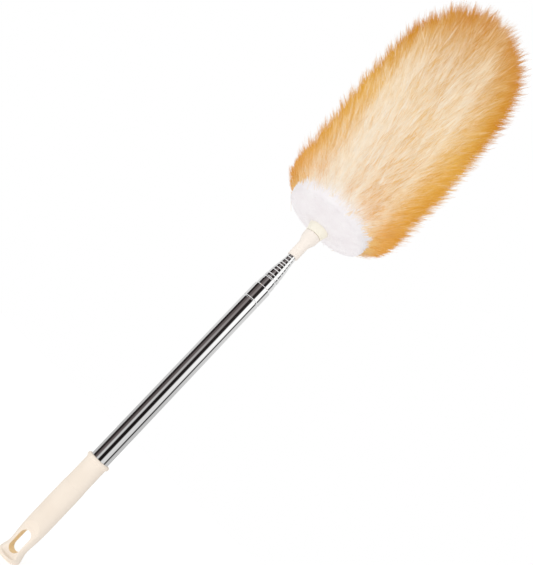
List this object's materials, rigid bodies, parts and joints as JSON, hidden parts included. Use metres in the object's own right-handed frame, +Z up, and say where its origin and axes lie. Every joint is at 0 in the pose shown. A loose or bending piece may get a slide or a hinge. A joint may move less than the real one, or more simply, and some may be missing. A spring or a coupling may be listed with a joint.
{
  "type": "feather duster",
  "caption": "Long soft pile duster head screwed on a pole of nested sliding steel tubes, with a plastic grip that has a hang slot.",
  "frame": {"origin": "centre of the hang slot near the free end of the grip, on the pole's axis", "axes": "+Z up the pole from the grip to the head, Y through the hang slot, X across it"},
  "size_m": [0.161, 0.161, 0.79],
  "materials": {
    "cream_plastic": "satin",
    "black_plastic": "matte",
    "polished_steel": "polished",
    "spring_brass": "satin",
    "stud_steel": "satin",
    "core_plastic": "matte",
    "hide": "matte",
    "white_fleece": "matte",
    "gold_pile": "matte"
  },
  "bodies": {
    "handle": {"grip": "cream_plastic", "tube_plug": "black_plastic", "tube_1": "polished_steel"},
    "stage_2": {"tube_2": "polished_steel", "sleeve_2": "core_plastic"},
    "stage_3": {"tube_3": "polished_steel", "sleeve_3": "spring_brass"},
    "stage_4": {"tube_4": "polished_steel", "sleeve_4": "spring_brass"},
    "stage_5": {"tube_5": "polished_steel", "sleeve_5": "spring_brass"},
    "stage_6": {"tube_6": "polished_steel", "sleeve_6": "spring_brass"},
    "stage_7": {"tube_7": "polished_steel", "sleeve_7": "spring_brass"},
    "stage_8": {"tube_8": "polished_steel", "sleeve_8": "spring_brass"},
    "stage_9": {"tube_9": "polished_steel", "sleeve_9": "spring_brass", "pole_adapter": "cream_plastic"},
    "head": {"head_stud": "stud_steel", "head_socket": "cream_plastic", "core_tube": "core_plastic", "core_cap": "core_plastic", "hide": "hide", "hide_tacks": "stud_steel", "base_fleece": "white_fleece", "pile": "gold_pile"}
  },
  "joints": [
    {"name": "slide_2", "type": "slide", "parent": "handle", "child": "stage_2", "axis": [0, 0, 1], "range_m": [0, 0.2416]},
    {"name": "slide_3", "type": "slide", "parent": "stage_2", "child": "stage_3", "axis": [0, 0, 1], "range_m": [0, 0.2721]},
    {"name": "slide_4", "type": "slide", "parent": "stage_3", "child": "stage_4", "axis": [0, 0, 1], "range_m": [0, 0.2771]},
    {"name": "slide_5", "type": "slide", "parent": "stage_4", "child": "stage_5", "axis": [0, 0, 1], "range_m": [0, 0.2813]},
    {"name": "slide_6", "type": "slide", "parent": "stage_5", "child": "stage_6", "axis": [0, 0, 1], "range_m": [0, 0.2858]},
    {"name": "slide_7", "type": "slide", "parent": "stage_6", "child": "stage_7", "axis": [0, 0, 1], "range_m": [0, 0.2891]},
    {"name": "slide_8", "type": "slide", "parent": "stage_7", "child": "stage_8", "axis": [0, 0, 1], "range_m": [0, 0.2938]},
    {"name": "slide_9", "type": "slide", "parent": "stage_8", "child": "stage_9", "axis": [0, 0, 1], "range_m": [0, 0.2986]},
    {"name": "head_turn", "type": "hinge", "parent": "stage_9", "child": "head", "pos_m": [0, 0, 0.41095], "axis": [0, 0, 1], "continuous": true}
  ]
}
